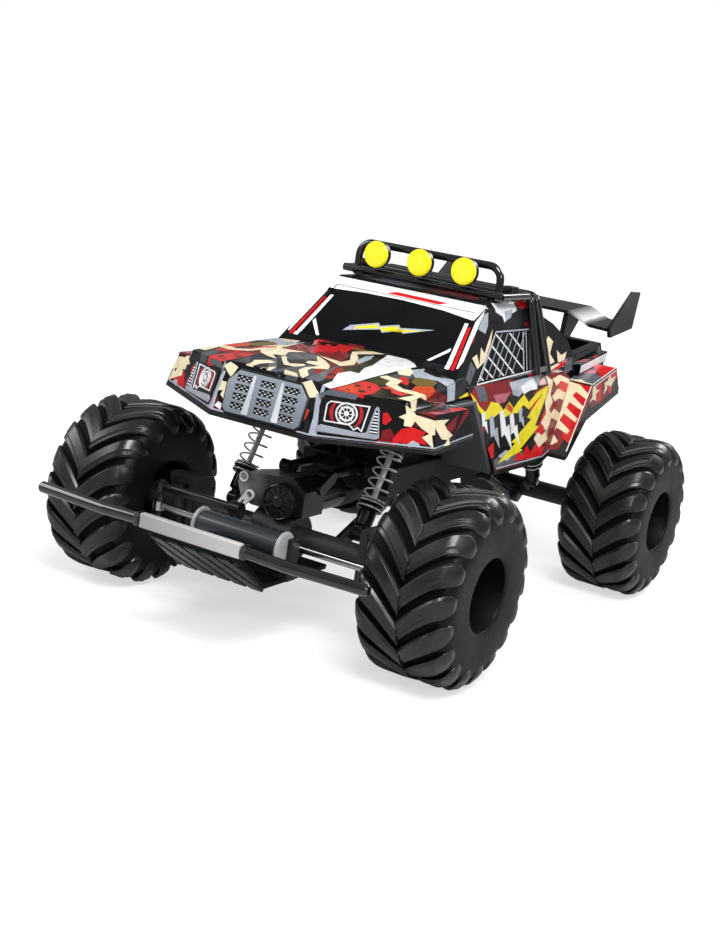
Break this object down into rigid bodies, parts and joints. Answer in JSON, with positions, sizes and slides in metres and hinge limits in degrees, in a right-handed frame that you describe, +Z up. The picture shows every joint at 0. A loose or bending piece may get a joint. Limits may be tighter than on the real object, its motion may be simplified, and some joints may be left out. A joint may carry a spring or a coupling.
{
  "type": "toy monster truck",
  "caption": "Toy pickup-bodied monster truck on solid axles, with big lugged tyres that roll, steered front wheels, coil-over dampers, a roof rack with lamps and a rear wing",
  "frame": {"origin": "on the ground, below the middle of the overall box", "axes": "+Z up, -Y to the truck's front, +X to its left"},
  "size_m": [0.286, 0.4387, 0.2307],
  "materials": {
    "tyre": "matte",
    "rim": "gloss",
    "bright_metal": "satin",
    "gearbox_grey": "satin",
    "body_paint": "gloss",
    "charcoal_trim": "satin",
    "dark_glass": "gloss",
    "blue_grey_trim": "satin",
    "yellow_lamp": "gloss",
    "silver_plastic": "satin",
    "black_gloss": "gloss",
    "black_chassis": "satin"
  },
  "bodies": {
    "chassis": {"front_axle_housing": "black_chassis", "rear_axle_housing": "black_chassis", "front_gearbox": "gearbox_grey", "rear_gearbox": "gearbox_grey", "front_motor": "black_chassis", "rear_motor": "black_chassis", "front_dampers": "black_chassis", "rear_dampers": "black_chassis", "front_springs": "bright_metal", "rear_springs": "bright_metal", "front_lower_links": "black_chassis", "rear_lower_links": "black_chassis", "front_upper_links": "black_chassis", "rear_upper_links": "black_chassis", "chassis_frame": "black_chassis", "battery_box": "black_chassis", "front_damper_mount": "black_chassis", "rear_damper_mount": "black_chassis", "body_posts": "black_chassis", "skid_plate": "black_chassis", "winch_drum": "blue_grey_trim", "winch_frame": "black_chassis", "bumper_plate": "silver_plastic", "bumper_tubes": "black_gloss", "body_shell": "body_paint", "cab_shell": "charcoal_trim", "windscreen": "dark_glass", "left_side_window": "dark_glass", "right_side_window": "dark_glass", "rear_window": "dark_glass", "grille": "blue_grey_trim", "left_headlight": "blue_grey_trim", "right_headlight": "blue_grey_trim", "lower_trim": "rim", "left_arch_liner": "charcoal_trim", "right_arch_liner": "charcoal_trim", "roof_rack": "black_gloss", "light_hoop": "black_gloss", "roof_lamps": "yellow_lamp", "roll_bar": "black_gloss", "wing_blade": "charcoal_trim", "wing_end_plates": "charcoal_trim", "wing_struts": "charcoal_trim"},
    "left_knuckle": {"left_knuckle": "black_chassis"},
    "right_knuckle": {"right_knuckle": "black_chassis"},
    "steering_link": {"tie_rod": "bright_metal", "drag_link": "gearbox_grey"},
    "front_left_wheel": {"front_left_tyre": "tyre", "front_left_rim": "rim"},
    "front_right_wheel": {"front_right_tyre": "tyre", "front_right_rim": "rim"},
    "rear_left_wheel": {"rear_left_tyre": "tyre", "rear_left_rim": "rim"},
    "rear_right_wheel": {"rear_right_tyre": "tyre", "rear_right_rim": "rim"}
  },
  "joints": [
    {"name": "steer_left", "type": "hinge", "parent": "chassis", "child": "left_knuckle", "pos_m": [0.076, -0.1241, 0.0575], "axis": [0, 0, 1], "range_deg": [-25, 25]},
    {"name": "steer_right", "type": "hinge", "parent": "chassis", "child": "right_knuckle", "pos_m": [-0.076, -0.1241, 0.0575], "axis": [0, 0, 1], "range_deg": [-25, 25]},
    {"name": "link_pivot", "type": "hinge", "parent": "left_knuckle", "child": "steering_link", "pos_m": [0.076, -0.1451, 0.058], "axis": [0, 0, 1], "range_deg": [-25, 25]},
    {"name": "front_left_spin", "type": "hinge", "parent": "left_knuckle", "child": "front_left_wheel", "pos_m": [0.113, -0.1241, 0.0575], "axis": [1, 0, 0], "continuous": true},
    {"name": "front_right_spin", "type": "hinge", "parent": "right_knuckle", "child": "front_right_wheel", "pos_m": [-0.113, -0.1241, 0.0575], "axis": [1, 0, 0], "continuous": true},
    {"name": "rear_left_spin", "type": "hinge", "parent": "chassis", "child": "rear_left_wheel", "pos_m": [0.113, 0.1619, 0.0575], "axis": [1, 0, 0], "continuous": true},
    {"name": "rear_right_spin", "type": "hinge", "parent": "chassis", "child": "rear_right_wheel", "pos_m": [-0.113, 0.1619, 0.0575], "axis": [1, 0, 0], "continuous": true}
  ],
  "couplings": [
    {"joint": "steer_right", "follows": "steer_left", "ratio": 1},
    {"joint": "link_pivot", "follows": "steer_left", "ratio": -1}
  ]
}
